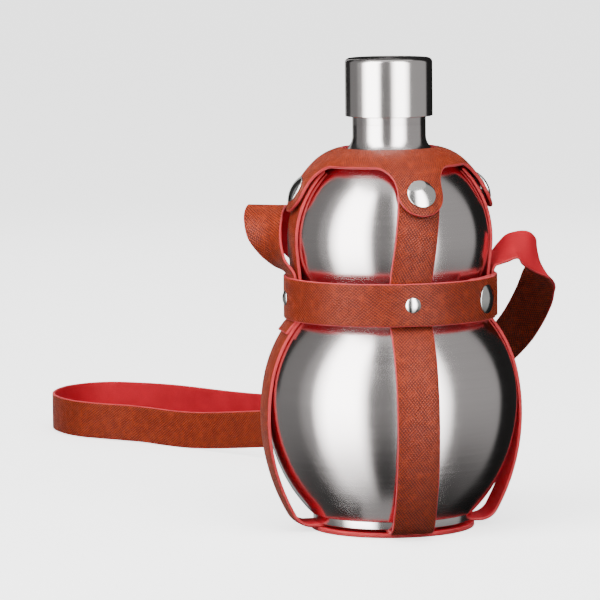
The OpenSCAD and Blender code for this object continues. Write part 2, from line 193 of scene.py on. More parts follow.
def turned(v, angle):
    """A (radius, height) point turned round the axis to that angle, as a 3-D vector."""
    c = ray(angle)
    return Vector((v[0] * c.x, v[0] * c.y, v[1]))


def link(name, data):
    """A new object of that data, in the scene."""
    obj = bpy.data.objects.new(name, data)
    bpy.context.scene.collection.objects.link(obj)
    return obj


def finished(bm, name, sharp=40):
    """A new object from bm, smooth but for its edges over that many degrees."""
    bmesh.ops.recalc_face_normals(bm, faces=bm.faces)
    for face in bm.faces:
        face.smooth = True
    for edge in bm.edges:
        edge.smooth = len(edge.link_faces) != 2 or edge.calc_face_angle(0) < math.radians(sharp)
    mesh = bpy.data.meshes.new(name)
    bm.to_mesh(mesh)
    bm.free()
    return link(name, mesh)


def lathe(name, outline, segments=192, zone=None):
    """A solid turned round +Z from (radius, height) points; zone picks a face's material slot."""
    bm = bmesh.new()
    rings = []
    for r, z in outline:
        if r < 1e-7:
            rings.append([bm.verts.new((0, 0, z))])
        else:
            ring = [turned((r, z), 360 * k / segments) for k in range(segments)]
            rings.append([bm.verts.new(p) for p in ring])
    for i, (low, high) in enumerate(zip(rings, rings[1:] + rings[:1])):
        for k in range(segments):
            corners = [low[k % len(low)], low[(k + 1) % len(low)]]
            corners += [high[(k + 1) % len(high)], high[k % len(high)]]
            unique = list(dict.fromkeys(corners))
            if len(unique) > 2:
                face = bm.faces.new(unique)
                if zone:
                    face.material_index = zone(i)
    return finished(bm, name)


def between(points, i, k):
    """A point of the smooth curve through the points, a share k of the way from point i."""
    last = len(points) - 1
    a, b, c, d = (Vector(points[max(0, min(last, j))]) for j in (i - 1, i, i + 1, i + 2))
    return 0.5 * (
        2 * b + (c - a) * k + (2 * a - 5 * b + 4 * c - d) * k**2 + (3 * b - a - 3 * c + d) * k**3
    )


# ---- Leather: strips swept along a line, and sheets cut to an outline ----

OUTER, LINING, EDGE = 0, 1, 2
EDGE_R = 0.0005
# The rim angles round a cut edge, from the outer face to the lining, and those of a strip's end.
RIM = [90, 60, 30, 0, -30, -60, -90]
END_TAPER = [0, 30, 60]
RIM_FULLNESS = 0.7
THINNEST_END = 0.25
LEATHER_SHARP = 60


def rim_point(angle):
    """How far in from the cut edge and how high over the middle a rim point lies."""
    s = math.sin(math.radians(angle))
    inset = EDGE_R * (1 - math.cos(math.radians(angle)))
    return inset, math.copysign(abs(s) ** RIM_FULLNESS, s) * LEATHER_T / 2


# How far leather strays from true, in (size, cell of the noise): its faces, its edges and nicks.
FACE_WAVE = (0.00006, 0.012)
EDGE_WAVE = (0.00012, 0.009)
EDGE_NICKS = (0.00005, 0.002)


def wander(p, wave):
    """A smooth random number for that place, of the wave's size."""
    size, cell = wave
    return size * noise.noise(Vector(p) / cell)


def strip_row(width, spans=10):
    """A strip's cross-section as (place across, rim angle, zone) points, in turn round it."""
    half = width / 2
    flat = [-half + EDGE_R + (width - 2 * EDGE_R) * i / spans for i in range(spans + 1)]
    row = [(x, 90, OUTER) for x in flat]
    row += [(half, a, EDGE) for a in RIM[1:-1]]
    row += [(-x, -90, LINING) for x in flat]
    row += [(-half, a, EDGE) for a in RIM[-2:0:-1]]
    return row


def end_section(station, along, at, taper):
    """One of the sections that round off a cut end, as (station, length so far, rim angle)."""
    centre, *rest = station
    return (centre + along * (EDGE_R - rim_point(taper)[0]), *rest), at, taper


def strip_sections(stations, cut_start, cut_end):
    """The sections that a strip runs through, with those of its cut ends."""
    lengths = running([centre for centre, *_ in stations])
    sections = [(station, at, 90) for station, at in zip(stations, lengths)]
    if cut_start:
        back = (stations[0][0] - stations[1][0]).normalized()
        ends = [end_section(stations[0], back, -rim_point(a)[0], a) for a in END_TAPER]
        sections = ends + sections
    if cut_end:
        ahead = (stations[-1][0] - stations[-2][0]).normalized()
        at = lengths[-1] + EDGE_R
        sections += [end_section(stations[-1], ahead, at, a) for a in reversed(END_TAPER)]
    return sections


def strip_point(section, x, angle, half, thickness):
    """Where a point of the cross-section lies, and how far across the strip it is."""
    (centre, across, normal, hoop), at, taper = section
    squeeze = max(THINNEST_END, rim_point(taper)[1] / (LEATHER_T / 2)) * thickness / LEATHER_T
    inset, height = rim_point(angle)
    side = math.copysign(1, x) if abs(x) == half else 0
    x = x - side * inset
    edge = abs(x) / half
    x += side * wander((at, side * 7, 0), EDGE_WAVE)
    x += side * wander((at, side, 3), EDGE_NICKS)
    lift = height * squeeze - (x * x / (2 * hoop) if hoop else 0)
    lift += wander((at, x, 5), FACE_WAVE) * (1 - 0.5 * edge)
    return centre + across * x + normal * lift, x


def strip(name, stations, width=STRAP_W, thickness=LEATHER_T, cut_start=True, cut_end=True):
    """A leather strip. Each station is (centre, across, outward normal, hoop radius or 0)."""
    row = strip_row(width)
    bm = bmesh.new()
    grain = bm.loops.layers.uv.new("grain")
    rings = []
    for section in strip_sections(stations, cut_start, cut_end):
        ring = []
        for x, angle, _ in row:
            place, aside = strip_point(section, x, angle, width / 2, thickness)
            ring.append((bm.verts.new(place), aside, section[1]))
        rings.append(ring)
    for i, (low, high) in enumerate(zip(rings, rings[1:])):
        from_end = len(rings) - 2 - i
        ended = i < len(END_TAPER) and cut_start or from_end < len(END_TAPER) and cut_end
        for j in range(len(row)):
            k = (j + 1) % len(row)
            quad = [low[j], low[k], high[k], high[j]]
            face = bm.faces.new([q[0] for q in quad])
            flat = row[j][2] == row[k][2] != EDGE
            face.material_index = EDGE if ended or not flat else row[j][2]
            for loop, q in zip(face.loops, quad):
                loop[grain].uv = (q[1], q[2])
    for ring, cut in ((rings[0], cut_start), (rings[-1], cut_end)):
        if cut:
            face = bm.faces.new([q[0] for q in ring])
            face.material_index = EDGE
    return finished(bm, name, LEATHER_SHARP)


def inside(p, polygon):
    """Whether a line from p to the right crosses the polygon's edge an odd number of times."""
    hit = False
    for a, b in zip(polygon, polygon[1:] + polygon[:1]):
        if (a.y > p.y) != (b.y > p.y) and p.x < (b.x - a.x) * (p.y - a.y) / (b.y - a.y) + a.x:
            hit = not hit
    return hit


# A sheet's inner points lie in staggered rows, in shares of the distance between two of a row.
ROW_STEP = 0.87
CLEAR_OF_EDGE = 0.6


def rounded_edges(chain):
    """A cut edge's line on the pattern, and the lines inside it that its round edge is made of."""
    normals = []
    for i in range(len(chain)):
        t = chain[min(i + 1, len(chain) - 1)] - chain[max(i - 1, 0)]
        seam = i in (0, len(chain) - 1)
        normals.append(Vector((0 if seam else -t.y, t.x)).normalized())
    return [[p + n * rim_point(a)[0] for p, n in zip(chain, normals)] for a in RIM]


def filled(polygon, cell):
    """The polygon's points, and the rows of points that fill it."""
    xs, ys = [p.x for p in polygon], [p.y for p in polygon]
    points = list(polygon)
    for j in range(int((max(ys) - min(ys)) / (cell * ROW_STEP)) + 1):
        for i in range(int((max(xs) - min(xs)) / cell) + 1):
            p = Vector((min(xs) + (i + 0.5 * (j % 2)) * cell, min(ys) + j * cell * ROW_STEP))
            if inside(p, polygon) and min((p - q).length for q in polygon) > CLEAR_OF_EDGE * cell:
                points.append(p)
    return points


def sheet(name, rims, seams, place, cell=0.0015):
    """A leather sheet: rims are cut edges and seams are open joins, in turn round the outline."""
    loops = [rounded_edges(chain) for chain in rims]
    polygon, marks = [], []
    for chain, seam in zip(loops, seams):
        marks.append(len(polygon))
        polygon += chain[0] + seam
    outline = [list(range(len(polygon)))]
    made = geometry.delaunay_2d_cdt(filled(polygon, cell), [], outline, 1, 1e-7)
    flat, triangles = made[0], made[2]
    to_new = {old: new for new, olds in enumerate(made[3]) for old in olds}
    bm = bmesh.new()
    grain = bm.loops.layers.uv.new("grain")
    uv = {}

    def vert(p, height):
        v = bm.verts.new(place(p, height + wander(place(p, 0), FACE_WAVE)))
        uv[v] = p
        return v

    top = [vert(p, LEATHER_T / 2) for p in flat]
    low = [vert(p, -LEATHER_T / 2) for p in flat]
    faces = [([top[i] for i in f], OUTER) for f in triangles]
    faces += [([low[i] for i in reversed(f)], LINING) for f in triangles]
    for mark, chain in zip(marks, loops):
        count = len(chain[0])
        rings = [[top[to_new[mark + i]] for i in range(count)]]
        for line, a in zip(chain[1:-1], RIM[1:-1]):
            rings.append([vert(p, rim_point(a)[1]) for p in line])
        rings.append([low[to_new[mark + i]] for i in range(count)])
        for one, two in zip(rings, rings[1:]):
            faces += [([one[i], one[i + 1], two[i + 1], two[i]], EDGE) for i in range(count - 1)]
    for corners, zone in faces:
        face = bm.faces.new(corners)
        face.material_index = zone
        for loop in face.loops:
            loop[grain].uv = uv[loop.vert]
    return finished(bm, name, LEATHER_SHARP)


# ---- Materials ----


class Graph:
    """A material's node tree, with short calls for the nodes used here."""

    def __init__(self, name):
        self.material = bpy.data.materials.new(name)
        self.material.use_nodes = True
        self.nodes = self.material.node_tree.nodes
        self.links = self.material.node_tree.links
        self.shader = self.nodes["Principled BSDF"]

    def set(self, **values):
        for key, value in values.items():
            self.shader.inputs[key.replace("_", " ")].default_value = value
        return self

    def node(self, kind, inputs=(), **settings):
        """A new node; an input that is another node's socket is linked to it."""
        made = self.nodes.new(kind)
        for key, value in settings.items():
            setattr(made, key, value)
        for key, value in dict(inputs).items():
            if isinstance(value, bpy.types.NodeSocket):
                self.links.new(value, made.inputs[key])
            else:
                made.inputs[key].default_value = value
        return made

    def noise(self, vector, scale, detail=3, roughness=0.55):
        values = {"Vector": vector, "Scale": scale, "Detail": detail, "Roughness": roughness}
        return self.node("ShaderNodeTexNoise", values).outputs["Fac"]

    def math(self, operation, a, b=0.0):
        return self.node("ShaderNodeMath", {0: a, 1: b}, operation=operation).outputs[0]

    def spread(self, value, low, high, to_low=0.0, to_high=1.0):
        """The value's range from low to high, spread over to_low to to_high."""
        values = {"Value": value, "From Min": low, "From Max": high, "To Min": to_low, "To Max": to_high}
        return self.node("ShaderNodeMapRange", values).outputs["Result"]

    def mapped(self, vector, scale=(1, 1, 1), turn=0.0):
        values = {"Vector": vector, "Scale": scale, "Rotation": (0, 0, math.radians(turn))}
        return self.node("ShaderNodeMapping", values).outputs["Vector"]

    def mix(self, factor, one, two):
        """A mix of two colours. The node's colour sockets are 6 and 7, and its colour result is 2."""
        values = {0: factor, 6: one, 7: two}
        return self.node("ShaderNodeMix", values, data_type="RGBA").outputs[2]

    def colour(self, socket):
        self.links.new(socket, self.shader.inputs["Base Color"])

    def roughness(self, socket):
        self.links.new(socket, self.shader.inputs["Roughness"])

    def bump(self, height, strength, distance):
        values = {"Height": height, "Strength": strength, "Distance": distance}
        made = self.node("ShaderNodeBump", values)
        self.links.new(made.outputs["Normal"], self.shader.inputs["Normal"])

    def uv(self):
        return self.node("ShaderNodeUVMap", uv_map="grain").outputs["UV"]

    def place(self):
        return self.node("ShaderNodeTexCoord").outputs["Object"]


def cross_hatched_leather():
    """Brown leather pressed with two crossing sets of fine, broken diagonal lines, with painted shade in
    the lines.
    """
    g = Graph("brown_leather").set(IOR=1.35)
    uv = g.uv()
    jitter = g.node("ShaderNodeTexNoise", {"Vector": uv, "Scale": 260, "Detail": 1}).outputs["Color"]
    pushed = g.node("ShaderNodeVectorMath", {0: jitter, 1: (0.0005, 0.0005, 0)}, operation="MULTIPLY")
    bent = g.node("ShaderNodeVectorMath", {0: uv, 1: pushed.outputs[0]}, operation="ADD").outputs[0]
    lines = []
    for turn, scale, seed in ((36, 245, 0.0), (-44, 265, 0.31)):
        wave = {"Vector": g.mapped(bent, turn=turn), "Scale": scale, "Distortion": 0.25, "Detail": 1}
        line = g.node("ShaderNodeTexWave", wave, wave_profile="SIN").outputs["Fac"]
        shift = g.node("ShaderNodeVectorMath", {0: uv, 1: (seed, seed, 0)}, operation="ADD").outputs[0]
        broken = g.spread(g.noise(g.mapped(shift, (1, 1, 1), turn), 240, 2), 0.36, 0.54, 0.5, 1.0)
        lines.append(g.math("MULTIPLY", g.spread(line, 0.45, 0.85), broken))
    grooves = g.math("MAXIMUM", lines[0], lines[1])
    pebble = {"Vector": bent, "Scale": 1500, "Randomness": 0.9}
    cells = g.node("ShaderNodeTexVoronoi", pebble, feature="F1").outputs["Distance"]
    relief = g.math("ADD", g.spread(grooves, 0, 1, 1, 0), g.math("MULTIPLY", cells, 0.15))
    cloud = g.noise(uv, 60, 3)
    tone = g.mix(g.spread(cloud, 0.3, 0.7), (0.42, 0.037, 0.002, 1), (0.47, 0.044, 0.003, 1))
    # Painted shade: the pressed grooves are coloured nearly black, as if in shadow.
    tone = g.mix(g.spread(relief, 0.1, 0.9), g.mix(0.85, tone, (0.035, 0.003, 0.0006, 1)), tone)
    g.colour(tone)
    g.roughness(g.spread(relief, 0, 1, 0.6, 0.34))
    g.bump(relief, 1.0, 0.0005)
    return g.material


def suede_lining():
    """The red inner face: short, soft nap."""
    g = Graph("red_lining")
    g.set(IOR=1.28, Sheen_Weight=0.05, Sheen_Roughness=0.4, Sheen_Tint=(1, 0.2, 0.2, 1))
    at = g.place()
    nap = g.noise(at, 2600, 4)
    cloud = g.noise(at, 70, 3)
    tone = g.mix(g.spread(cloud, 0.3, 0.7), (0.44, 0.0005, 0.010, 1), (0.58, 0.001, 0.016, 1))
    g.colour(g.mix(g.spread(nap, 0.3, 0.7, 0, 0.4), tone, (0.30, 0.004, 0.01, 1)))
    g.roughness(g.spread(nap, 0.3, 0.7, 0.75, 0.92))
    g.bump(nap, 0.5, 0.0002)
    return g.material


def cut_edge():
    """The pink-red cut edge, with the fibres of the leather and a dark rubbed line here and there."""
    g = Graph("cut_edge").set(IOR=1.45, Sheen_Weight=0.1)
    at = g.place()
    fibre = g.noise(at, 3200, 3)
    patch = g.noise(at, 110, 3)
    tone = g.mix(g.spread(patch, 0.3, 0.72), (0.56, 0.012, 0.02, 1), (0.42, 0.004, 0.012, 1))
    g.colour(g.mix(g.spread(fibre, 0.35, 0.7, 0, 0.35), tone, (0.62, 0.05, 0.05, 1)))
    g.roughness(g.spread(fibre, 0.3, 0.7, 0.5, 0.75))
    g.bump(fibre, 0.4, 0.0002)
    return g.material


def brushed_steel(name, colour, rough, wear=1.0):
    """Steel brushed round the axis: long level streaks that stretch its highlights upwards."""
    g = Graph(name).set(Metallic=1.0, Anisotropic=0.75, Anisotropic_Rotation=0.25)
    at = g.place()
    fine = g.noise(g.mapped(at, (14, 14, 5200)), 1.0, 4, 0.7)
    coarse = g.noise(g.mapped(at, (9, 9, 900)), 1.0, 3, 0.6)
    cloud = g.noise(at, 24, 3)
    smear = g.noise(at, 45, 2)
    streak = g.math("ADD", g.math("MULTIPLY", fine, 0.65), g.math("MULTIPLY", coarse, 0.35))
    dark = tuple(0.94 * c for c in colour) + (1,)
    tone = g.mix(g.spread(streak, 0.35, 0.65), dark, colour + (1,))
    g.colour(tone)
    base = g.spread(streak, 0.3, 0.7, rough - 0.03, rough + 0.03)
    marks = g.spread(smear, 0.45, 0.8, 0, 0.04 * wear)
    g.roughness(g.math("ADD", g.math("ADD", base, marks), g.spread(cloud, 0.3, 0.7, -0.02, 0.03)))
    g.bump(streak, 0.013, 0.0001)
    tangent = g.node("ShaderNodeTangent", direction_type="RADIAL", axis="Z").outputs["Tangent"]
    g.links.new(tangent, g.shader.inputs["Tangent"])
    return g.material


def polished(name, colour, rough):
    """Plated metal with hairline scratches and faint smudges."""
    g = Graph(name).set(Metallic=1.0)
    at = g.place()
    scratch = g.noise(g.mapped(at, (400, 4200, 900), 25), 1.0, 3, 0.7)
    smudge = g.noise(at, 160, 4)
    g.colour(g.mix(g.spread(smudge, 0.3, 0.8), colour + (1,), tuple(0.88 * c for c in colour) + (1,)))
    hairline = g.spread(scratch, 0.45, 0.75, rough, rough + 0.1)
    g.roughness(g.math("ADD", hairline, g.spread(smudge, 0.4, 0.8, 0, 0.06)))
    g.bump(scratch, 0.05, 0.00005)
    return g.material


def moulded(name, colour, rough):
    """Plain moulded plastic or silicone with a faint texture."""
    g = Graph(name).set(IOR=1.46)
    at = g.place()
    cloud = g.noise(at, 120, 3)
    grain = g.noise(at, 2400, 2)
    g.colour(g.mix(g.spread(cloud, 0.3, 0.7), colour + (1,), tuple(0.93 * c for c in colour) + (1,)))
    g.roughness(g.spread(grain, 0.3, 0.7, rough - 0.06, rough + 0.06))
    g.bump(grain, 0.15, 0.0001)
    return g.material


LEATHER = [cross_hatched_leather(), suede_lining(), cut_edge()]
FLASK_STEEL = brushed_steel("flask_steel", (0.69, 0.645, 0.635), 0.19)
CAP_STEEL = brushed_steel("cap_steel", (0.72, 0.68, 0.665), 0.18, 0.6)
NICKEL = polished("nickel", (0.74, 0.73, 0.71), 0.10)
WIRE = polished("spring_wire", (0.6, 0.6, 0.6), 0.22)
LINER = moulded("liner_plastic", (0.80, 0.80, 0.77), 0.42)
GASKET = moulded("gasket_silicone", (0.84, 0.84, 0.81), 0.55)


def dress(obj, materials, slot):
    """Gives obj its materials. Its slot argument is not used."""
    for i in range(len(obj.data.materials)):
        obj.data.materials[i] = materials[0]
    if not obj.data.materials:
        for m in materials:
            obj.data.materials.append(m)
    return obj


def fit(obj, body, materials, slot, *nodes):
    """Dresses a piece, hangs it on its body and lets it stand for its CAD nodes."""
    dress(obj, materials, slot)
    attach(obj, body)
    if nodes:
        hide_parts(*nodes)
    return obj


# ---- Camera ----

CAMERA_AZIMUTH = -12
CAMERA_DISTANCE = 2.163
CAMERA_HEIGHT = 0.346
LENS_MM = 251.4
YAW, PITCH, ROLL = 1.244, 6.0, -0.6


def swung(one, two, angle):
    """Two square directions, each turned by that many degrees from the first towards the second."""
    c, s = math.cos(math.radians(angle)), math.sin(math.radians(angle))
    return one * c + two * s, two * c - one * s


def make_camera():
    right, ahead = swung(Vector((1, 0, 0)), Vector((0, 1, 0)), CAMERA_AZIMUTH)
    at = Vector((0, 0, CAMERA_HEIGHT)) - ahead * CAMERA_DISTANCE
    right, ahead = swung(right, ahead, YAW)
    ahead, up = swung(ahead, Vector((0, 0, 1)), -PITCH)
    right, up = swung(right, up, ROLL)
    data = bpy.data.cameras.new("camera")
    data.lens = LENS_MM
    data.sensor_width = 36
    data.clip_end = 60
    camera = link("camera", data)
    axes = Matrix((right, up, -ahead)).transposed()
    camera.matrix_world = Matrix.Translation(at) @ axes.to_4x4()
    bpy.context.scene.camera = camera


make_camera()

# ---- Shoulder strap: one flat strip, tucked under the waist band at both ends ----


def strap_stations(per_span=6):
    """The strap's stations: under the band it bends to the band's hoop, and eases out of it above."""
    last = len(STRAP_ROUTE) - 1
    steps = [(i, k / per_span) for i in range(last) for k in range(per_span)] + [(last - 1, 1.0)]
    middle = [between(STRAP_ROUTE, i, k) for i, k in steps]
    across = [between(STRAP_ACROSS, i, k) for i, k in steps]
    stations = []
    for i, centre in enumerate(middle):
        along = (middle[min(i + 1, len(middle) - 1)] - middle[max(i - 1, 0)]).normalized()
        w = (across[i] - across[i].dot(along) * along).normalized()
        tucked = 1 - max(0.0, centre.z - TUCK_Z) / TUCK_EASE if centre.y < TUCK_Y else 0.0
        hoop = TUCK_R / tucked if tucked > LEAST_TUCK else 0
        stations.append((centre, w, along.cross(w), hoop))
    return stations


def make_shoulder_strap():
    stations = strap_stations()
    path = [centre for centre, *_ in stations]
    length = running(path)[-1]
    strap = strip("shoulder_strap_leather", stations, SHOULDER_W, SHOULDER_T)
    fit(strap, "carrier", LEATHER, "brown_leather", "shoulder_strap")


make_shoulder_strap()

# ---- Flask and cap ----


def flask_profile():
    """The flask's outside as two paths: from the neck down to the waist, and on down to the foot."""
    flare_c = Vector((NECK_R + FLARE_R, 0))
    flare_c.y = BULB_Z + math.sqrt((BULB_R + FLARE_R) ** 2 - flare_c.x**2)
    flare = angle_of(flare_c - Vector((0, BULB_Z)))
    rise = BULB_Z - BELLY_Z
    above = ((BELLY_R + WAIST_R) ** 2 - (BULB_R + WAIST_R) ** 2 + rise**2) / (2 * rise)
    waist_c = Vector((math.sqrt((BELLY_R + WAIST_R) ** 2 - above**2), BELLY_Z + above))
    low = angle_of(waist_c - Vector((0, BULB_Z)))
    top = angle_of(waist_c - Vector((0, BELLY_Z)))
    upper = [(Vector((NECK_R, NECK_LOW_Z)), Vector((1, 0)))]
    upper += arc(flare_c, FLARE_R, 180, 180 + flare, 16, -1)
    upper += arc((0, BULB_Z), BULB_R, flare, low, 60)[1:]
    upper += arc(waist_c, WAIST_R, 180 + low, 180, 8, -1)[1:]
    lower = arc(waist_c, WAIST_R, 180, 180 + top, 8, -1)
    lower += arc((0, BELLY_Z), BELLY_R, top, 0, 40)[1:]
    end = math.degrees(math.asin((BELLY_Z - FLOOR_Z) / ELLIPSE_B))
    for i in range(1, 41):
        c = ray(-end * i / 40)
        normal = Vector((c.x / BELLY_R, c.y / ELLIPSE_B)).normalized()
        lower.append((Vector((BELLY_R * c.x, BELLY_Z + ELLIPSE_B * c.y)), normal))
    return upper, lower


def shell(path, thickness):
    """The outline of a wall of that thickness inside the path."""
    return [p for p, _ in path] + [p - n * thickness for p, n in reversed(path)]


def make_flask():
    upper, lower = flask_profile()
    steel = ([FLASK_STEEL], "flask_steel")
    piece = lathe("flask_bulb", shell(upper, STEEL_T))
    fit(piece, "carrier", *steel, "flask_upper_shell")
    outside = [p for p, _ in lower]
    inside_line = [p - n * STEEL_T for p, n in lower[:-1]]
    turn_in = rounded([(*outside[-2], 0), (*outside[-1], 0.0006), (0, FLOOR_Z, 0)])
    outline = outside[:-1] + turn_in[1:] + [Vector((0, FLOOR_Z + STEEL_T))] + inside_line[::-1]
    fit(lathe("flask_belly", outline), "carrier", *steel, "flask_lower_shell")
    foot = rounded([
        (0, FOOT_PLATE_Z + STEEL_T, 0), (FOOT_R - FOOT_T, FOOT_PLATE_Z + STEEL_T, 0.0004),
        (FOOT_R - FOOT_T, FLOOR_Z, 0.0002), (FOOT_R, FLOOR_Z, 0.0004), (FOOT_R, FOOT_Z, 0.0005),
        (FOOT_R - FOOT_T, FOOT_Z, 0.0004), (FOOT_R - FOOT_T, FOOT_PLATE_Z, 0.0004),
        (0, FOOT_PLATE_Z, 0),
    ], 4)
    fit(lathe("foot_ring", foot), "carrier", *steel, "flask_foot")
    neck = rounded([
        (NECK_R - NECK_T, NECK_LOW_Z, 0.0001), (NECK_R, NECK_LOW_Z, 0.0001),
        (NECK_R, NECK_TOP_Z, 0.0005), (NECK_R - NECK_T, NECK_TOP_Z, 0.0003),
        (NECK_R - NECK_T, NECK_LOW_Z, 0),
    ])
    fit(lathe("neck_tube", neck[:-1]), "carrier", *steel, "neck_finish")


def make_cap():
    inner_r, inner_high = CAP_R - STEEL_T, CAP_HIGH - STEEL_T
    cap = rounded([
        (0, CAP_HIGH, 0), (CAP_R, CAP_HIGH, 0.0024), (CAP_R, CAP_LOW, 0.0004),
        (inner_r, CAP_LOW, 0.0003), (inner_r, inner_high, 0.0016), (0, inner_high, 0),
    ], 10)
    fit(lathe("cap_steel_shell", cap), "cap", [CAP_STEEL], "cap_steel", "cap_shell")


make_flask()
make_cap()

# ---- Vertical straps ----


def strap_profile():
    """A vertical strap's middle line, from its end under a lobe down to the base disc."""
    # It leaves the bulb at tilt below level and bends onto the belly, leaves that at hang above
    # level on a wider arc, and turns a corner in under the foot.
    tilt, bend_r, hang, hang_r, corner_r = 6, 0.012, 12, 0.105, 0.010
    bulb, belly = Vector((0, BULB_Z)), Vector((0, BELLY_Z))
    bulb_r = BULB_R + STEEL_GAP + LEATHER_T / 2
    belly_r = BELLY_R + STEEL_GAP + LEATHER_T / 2
    leave = bulb + bulb_r * ray(-tilt)
    q = leave + bend_r * ray(-tilt) - belly
    down = ray(-90 - tilt)
    run = -q.dot(down) - math.sqrt(q.dot(down) ** 2 - q.dot(q) + (belly_r + bend_r) ** 2)
    bend_c = belly + q + run * down
    bend = angle_of(bend_c - belly)
    hang_c = belly + (belly_r - hang_r) * ray(hang)
    foot_z = FOOT_Z - LEATHER_T / 2
    corner_c = Vector((0, foot_z + corner_r))
    corner_c.x = hang_c.x + math.sqrt((hang_r - corner_r) ** 2 - (hang_c.y - corner_c.y) ** 2)
    low = angle_of(corner_c - hang_c)
    path = arc(bulb, bulb_r, STRAP_TOP, -tilt, 40)
    start, stop = path[-1][0], bend_c + bend_r * ray(180 - tilt)
    path += [(start.lerp(stop, k / 16), ray(-tilt)) for k in range(1, 16)]
    path += arc(bend_c, bend_r, 180 - tilt, 180 + bend, 12, -1)
    path += arc(belly, belly_r, bend, hang, 16)[1:]
    path += arc(hang_c, hang_r, hang, low, 40)[1:]
    path += arc(corner_c, corner_r, low, -90, 16)[1:]
    shares = [k / 8 for k in range(1, 9)]
    path += [(Vector((corner_c.x - STRAP_UNDER * k, foot_z)), Vector((0, -1))) for k in shares]
    return path


def make_straps():
    path = strap_profile()
    for side, angle in SIDES.items():
        lean = math.radians(FRONT_LEAN) if side == "front" else 0.0
        stations = []
        for p, n in path:
            over = max(0.0, p.y - LEAN_Z)
            turn = angle + math.degrees(math.asin(over * math.tan(lean) / p.x))
            tilt = lean * min(1.0, over / LEAN_EASE)
            normal = turned(n, turn)
            across = Vector((*ray(angle + 90), 0)) * math.cos(tilt) - Vector((0, 0, math.sin(tilt)))
            across = (across - across.dot(normal) * normal).normalized()
            stations.append((turned(p, turn), across, normal, p.x / n.x if n.x > 0.01 else 0))
        strap = strip(f"strap_{side}_leather", stations)
        fit(strap, "carrier", LEATHER, "brown_leather", f"strap_{side}")


make_straps()

# ---- Collar: four quarters, each with its lobe, cut from one domed sheet ----

BEND_STEPS = 24


def collar_profile():
    """The collar's middle line, as a path from its hole down over the bend and the dome."""
    bulb = Vector((0, BULB_Z))
    bend_c = bulb + (SHEET_R - COLLAR_BEND_R) * ray(45)
    top = math.degrees(math.acos((COLLAR_HOLE_R - bend_c.x) / COLLAR_BEND_R))
    return arc(bend_c, COLLAR_BEND_R, top, 45, BEND_STEPS) + arc(bulb, SHEET_R, 45, 15, 60)[1:]


COLLAR_LINE = collar_profile()
COLLAR_RUN = running([p for p, _ in COLLAR_LINE])


def down_to(elevation):
    """How far down the sheet its dome reaches that many degrees over the bulb's middle."""
    return COLLAR_RUN[BEND_STEPS] + math.radians(45 - elevation) * SHEET_R


def collar_place(p, height):
    """Where a point of the flat pattern (turn x SHEET_R, way down the sheet) lies on the dome."""
    run = max(0.0, min(COLLAR_RUN[-1], p.y))
    i = max(k for k in range(len(COLLAR_RUN) - 1) if COLLAR_RUN[k] <= run + 1e-12)
    k = (run - COLLAR_RUN[i]) / (COLLAR_RUN[i + 1] - COLLAR_RUN[i])
    (a, n), (b, m) = COLLAR_LINE[i], COLLAR_LINE[i + 1]
    at = a.lerp(b, k) + n.lerp(m, k).normalized() * height
    return turned(at, math.degrees(p.x / SHEET_R))


def on_pattern(down, aside):
    """A point of the lobe's flat outline, in the snap's plane, as a point of the pattern."""
    out = math.sqrt(SHEET_R**2 - down**2 - aside**2)
    s, c = math.sin(math.radians(SNAP_ANGLE)), math.cos(math.radians(SNAP_ANGLE))
    x, z = out * c + down * s, out * s - down * c
    return Vector((math.atan2(aside, x) * SHEET_R, down_to(math.degrees(math.asin(z / SHEET_R)))))


def evenly(points, gap):
    """The same line with points about that far apart."""
    run = running(points)
    count = max(1, round(run[-1] / gap))
    out, j = [], 0
    for i in range(count + 1):
        at = run[-1] * i / count
        while j < len(run) - 2 and run[j + 1] < at:
            j += 1
        out.append(points[j].lerp(points[j + 1], (at - run[j]) / (run[j + 1] - run[j])))
    return out


def half_outline(reach):
    """Half of a lobe's edge on the pattern, from the seam at that reach in to the lobe's tip."""
    side = LOBE_R + LOBE_FLARE_R
    turns = [ray(a) for a in range(0, 91, 3)]
    line = [on_pattern(LOBE_FLARE_X - LOBE_FLARE_R * t.x, side - LOBE_FLARE_R * t.y) for t in turns]
    line += [on_pattern(LOBE_R * t.y, LOBE_R * t.x) for t in turns]
    if line[0].x < reach:
        return [Vector((reach, line[0].y))] + line
    i = next(k for k, p in enumerate(line) if p.x <= reach)
    share = (line[i - 1].x - reach) / (line[i - 1].x - line[i].x)
    return [line[i - 1].lerp(line[i], share)] + line[i:]


# The distance between two points of a lobe's edge and of the hole's, and how often the lobe's
# edge is softened by giving each point the mean of itself and its neighbours.
LOBE_STEP, HOLE_STEP = 0.0009, 0.0015
SOFTENED = 6


def collar_rims(side):
    """The cut edges of one quarter of the collar, softened, and the joins to its neighbours."""
    middle = math.radians(LOBES[side]) * SHEET_R
    ends = [math.radians(a) * SHEET_R for a in SEAMS[side]]
    right = [Vector((middle + p.x, p.y)) for p in half_outline(ends[1] - middle)]
    left = [Vector((middle - p.x, p.y)) for p in half_outline(middle - ends[0])]
    edge = down_to(COLLAR_EDGE)
    low = [Vector((p.x, max(p.y, edge))) for p in evenly(right + left[-2::-1], LOBE_STEP)]
    for _ in range(SOFTENED):
        inner = [(a + b + c) / 3 for a, b, c in zip(low, low[1:], low[2:])]
        low = [Vector((low[0].x, inner[0].y))] + inner + [Vector((low[-1].x, inner[-1].y))]
    top = evenly([Vector((ends[0], 0)), Vector((ends[1], 0))], HOLE_STEP)
    shares = [k / 10 for k in range(1, 10)]
    seams = []
    for x, y in ((ends[1], edge), (ends[0], edge)):
        seams.append([Vector((x, EDGE_R + (y - 2 * EDGE_R) * k)) for k in shares])
    return [top, low], [seams[0], seams[1][::-1]]


# Points just above a lobe's root and a little way down the lobe; make_collar works them out but does not
# use them.
BEND_ABOVE, BEND_BELOW = 0.0005, 0.004


